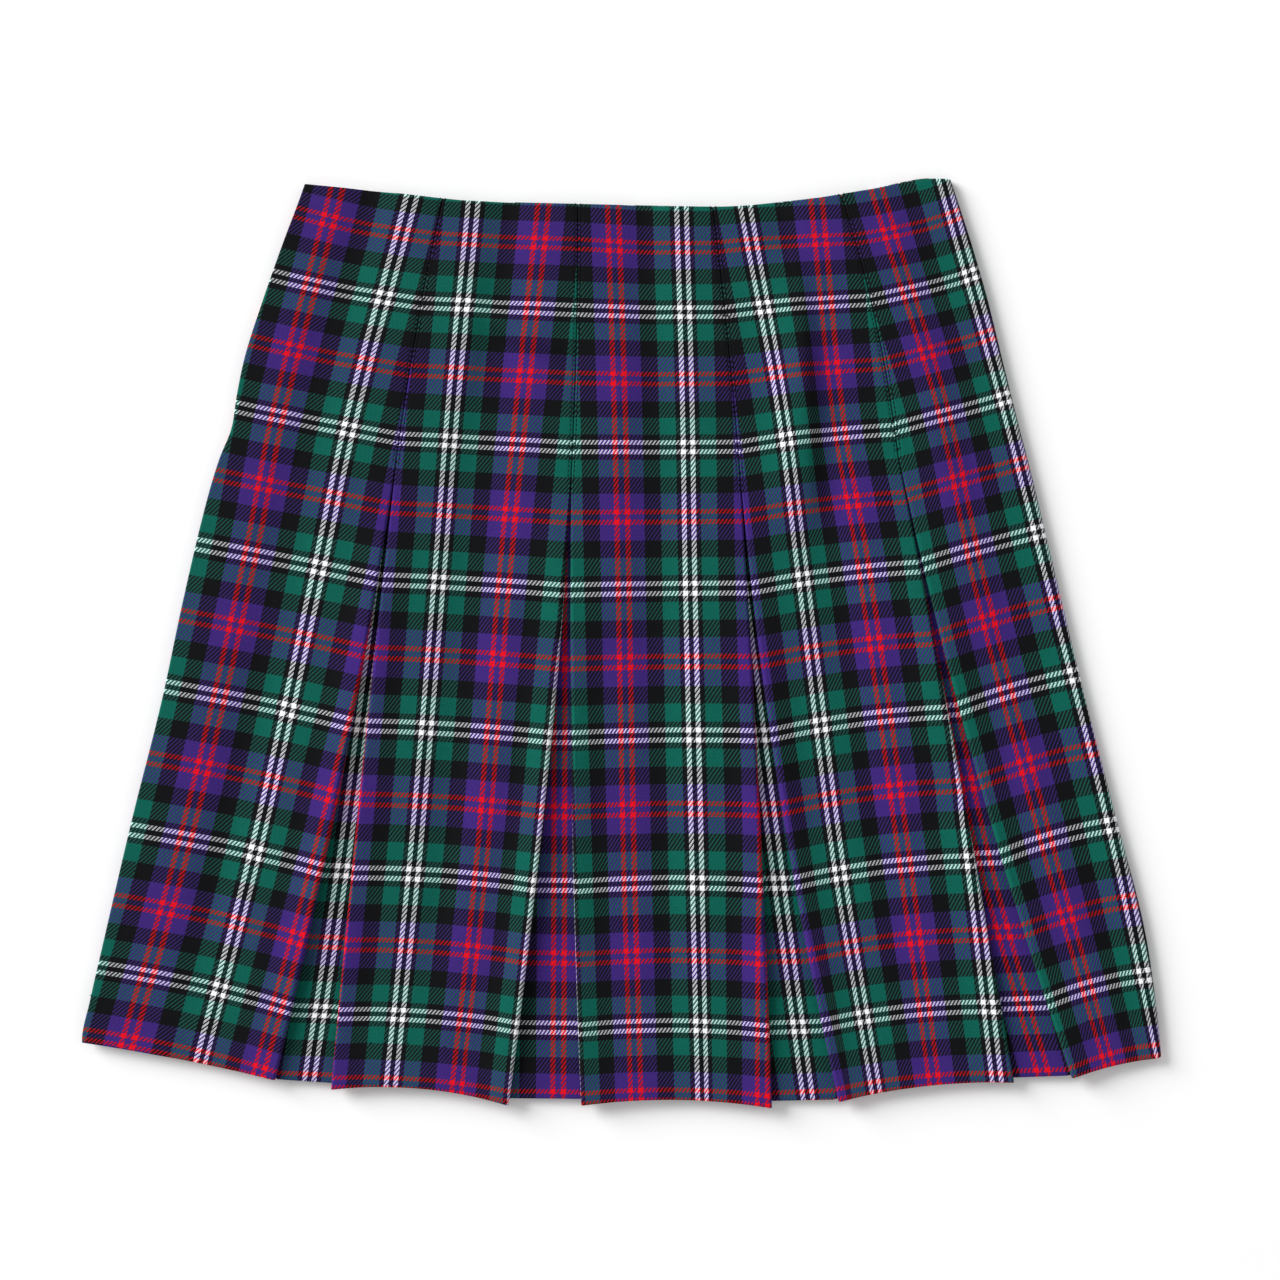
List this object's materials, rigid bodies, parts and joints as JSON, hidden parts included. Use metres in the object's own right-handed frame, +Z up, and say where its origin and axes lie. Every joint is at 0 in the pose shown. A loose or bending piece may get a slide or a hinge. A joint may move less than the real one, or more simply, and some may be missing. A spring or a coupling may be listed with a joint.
{
  "type": "box pleat skirt",
  "caption": "A-line check skirt laid flat, front up, with inverted box pleats stitched down to the hip and open to the hem.",
  "frame": {"origin": "middle of the laid skirt's footprint, on the surface that it lies on", "axes": "+X to the right of the front as seen from above, +Y from the hem to the waist, +Z up from the surface"},
  "size_m": [0.6208, 0.5338, 0.0105],
  "materials": {
    "cloth": "two-and-two twill in purple, green, black, red and white, soft matt with a slight sheen",
    "zip": "dark nylon coil on tape",
    "thread": "dark sewing thread, matt"
  },
  "bodies": {
    "root": {"front_panel_1": "cloth", "front_panel_2": "cloth", "front_panel_3": "cloth", "front_panel_4": "cloth", "side_panel_right": "cloth", "front_underlay_1": "cloth", "front_underlay_2": "cloth", "front_underlay_3": "cloth", "front_underlay_4": "cloth", "side_underlay_left": "cloth", "back_panel_1": "cloth", "back_panel_2": "cloth", "back_panel_3": "cloth", "back_panel_4": "cloth", "back_panel_5": "cloth", "back_underlay_1": "cloth", "back_underlay_2": "cloth", "back_underlay_3": "cloth", "back_underlay_4": "cloth", "back_underlay_5": "cloth", "side_zip_left": "zip"}
  },
  "joints": []
}
